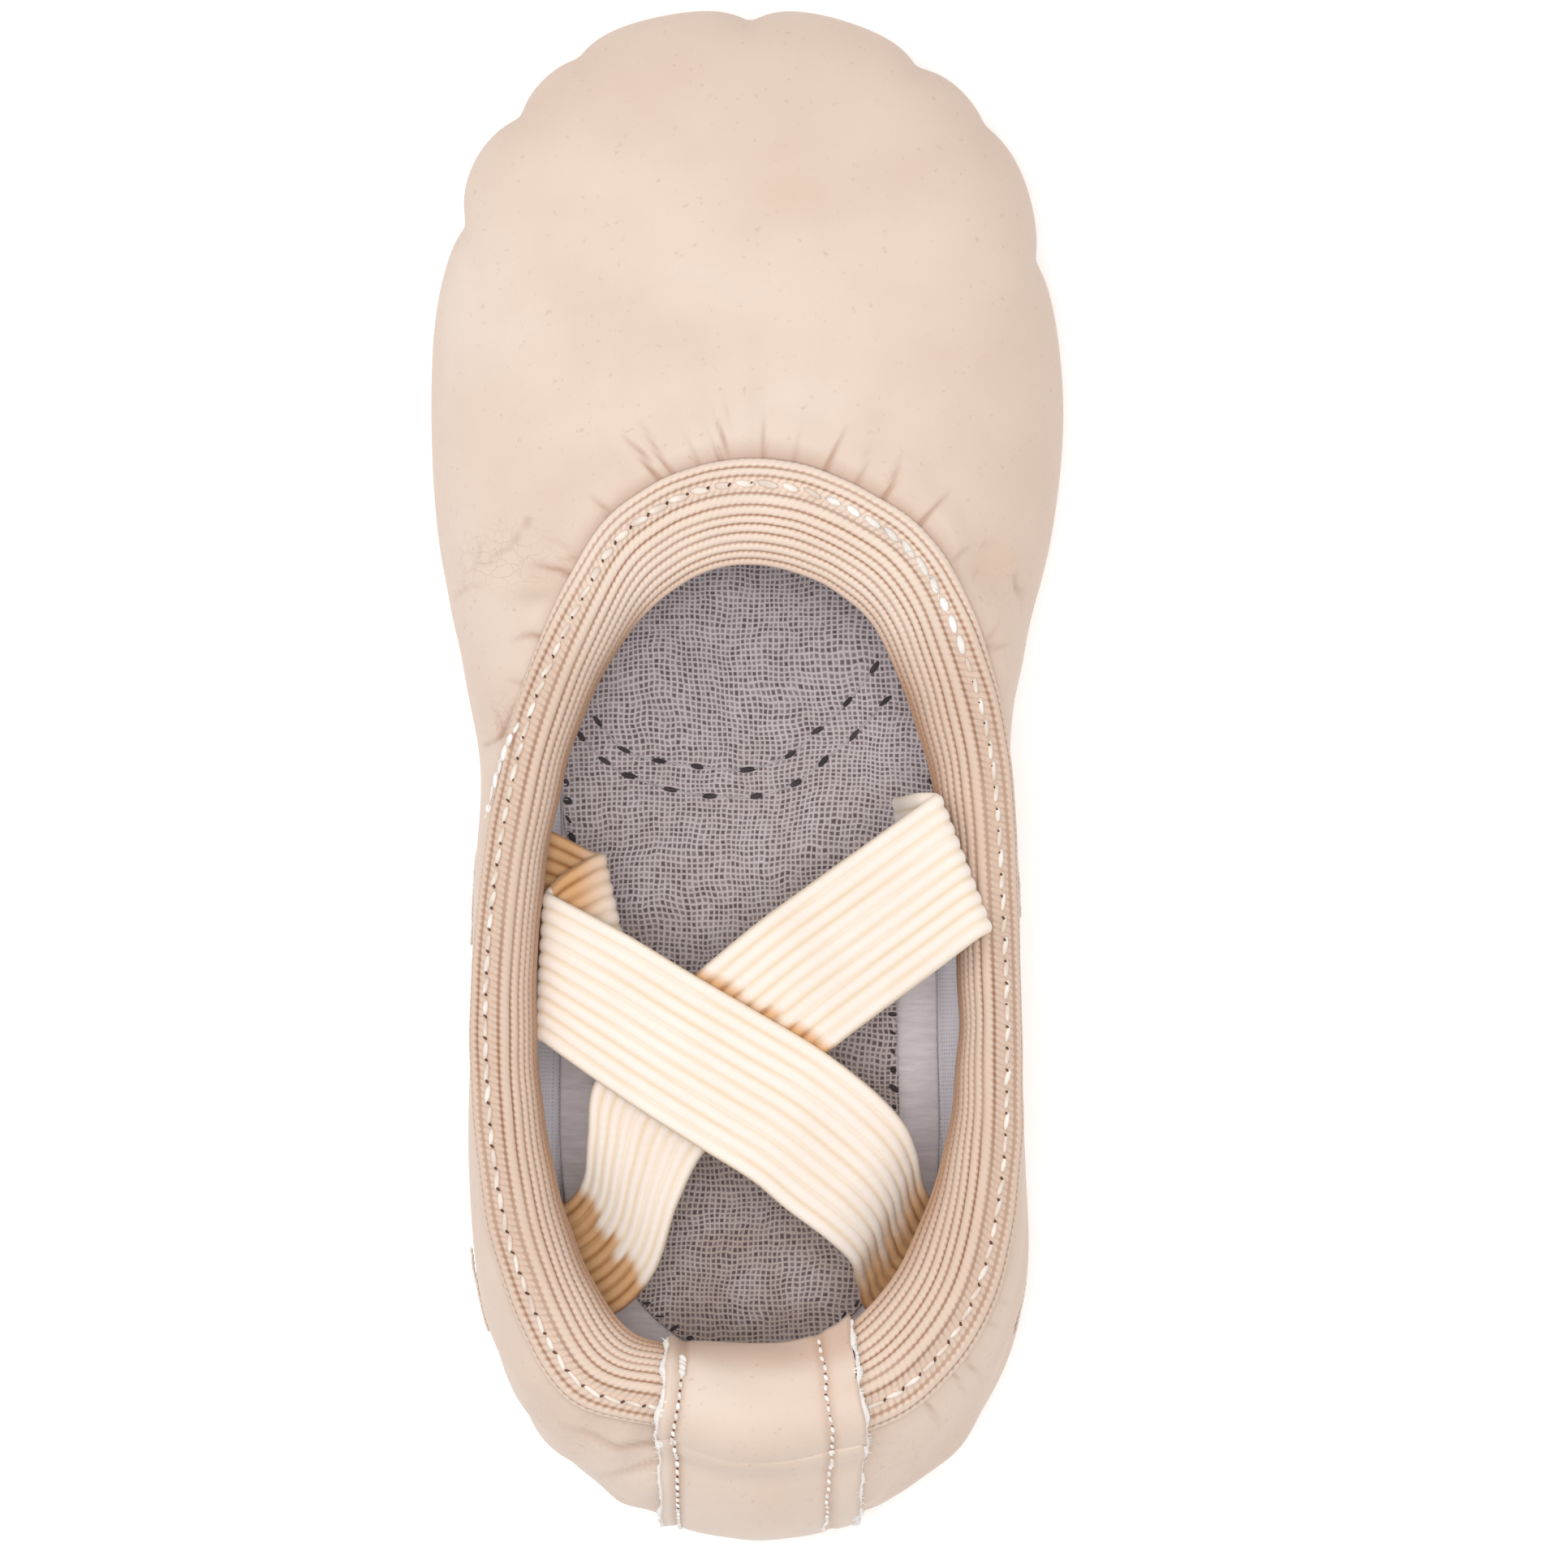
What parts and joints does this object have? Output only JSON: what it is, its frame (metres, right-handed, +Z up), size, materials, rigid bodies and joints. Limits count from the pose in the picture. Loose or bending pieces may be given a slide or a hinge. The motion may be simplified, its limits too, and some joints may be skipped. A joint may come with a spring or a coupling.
{
  "type": "ballet slipper",
  "caption": "Child's split-sole ballet slipper with a pleated toe, rolled elastic collar, crossed instep straps and suede pads.",
  "frame": {"origin": "on the floor, under the middle of the slipper's box", "axes": "+Y towards the toe, +X towards the right side, +Z up out of the mouth"},
  "size_m": [0.0682, 0.1651, 0.0431],
  "materials": {
    "leather": "soft matte nappa",
    "lining": "fine woven cotton",
    "heel_lining": "brushed woven cotton",
    "collar_elastic": "ribbed woven elastic",
    "strap_elastic": "ribbed woven elastic",
    "thread": "twisted polyester",
    "dark_thread": "twisted polyester",
    "suede": "napped suede",
    "foam": "felted cotton wadding",
    "underlay": "non-woven board",
    "gauze": "open plain-weave gauze"
  },
  "bodies": {
    "rear": {"upper_leather": "leather", "upper_lining": "lining", "heel_lining": "heel_lining", "collar_elastic": "collar_elastic", "collar_stitching": "thread", "heel_strip": "leather", "heel_strip_stitch_left": "thread", "heel_strip_stitch_right": "thread", "strap_tack_front_left": "thread", "strap_tack_front_right": "thread", "strap_tack_rear_left": "thread", "strap_tack_rear_right": "thread", "heel_pad": "suede", "heel_pad_stitch": "thread", "heel_cushion": "foam", "arch_seam_tape": "underlay", "insole_underlay": "underlay", "insole_sock": "gauze", "sock_stitching": "dark_thread"},
    "forefoot": {"forefoot_pad": "suede", "forefoot_pad_stitch_outer": "thread", "forefoot_pad_stitch_inner": "thread", "forefoot_cushion": "foam"},
    "strap_over": {"strap_over": "strap_elastic"},
    "strap_under": {"strap_under": "strap_elastic"}
  },
  "joints": [
    {"name": "forefoot_flex", "type": "hinge", "parent": "rear", "child": "forefoot", "pos_m": [0, 0.019, 0.002], "axis": [1, 0, 0], "range_deg": [-30, 35], "stiffness_Nm_per_rad": 0.06, "deforming": ["upper_leather", "upper_lining", "collar_elastic", "collar_stitching", "insole_underlay", "insole_sock", "sock_stitching"]},
    {"name": "under_strap_lift", "type": "slide", "parent": "rear", "child": "strap_under", "axis": [0, 0, 1], "range_m": [0, 0.02], "stiffness_N_per_m": 40, "deforming": ["strap_under"]},
    {"name": "over_strap_lift", "type": "slide", "parent": "rear", "child": "strap_over", "axis": [0, 0, 1], "range_m": [0, 0.02], "stiffness_N_per_m": 40, "deforming": ["strap_over"]}
  ],
  "couplings": [
    {"joint": "over_strap_lift", "follows": "under_strap_lift", "ratio": 1}
  ]
}
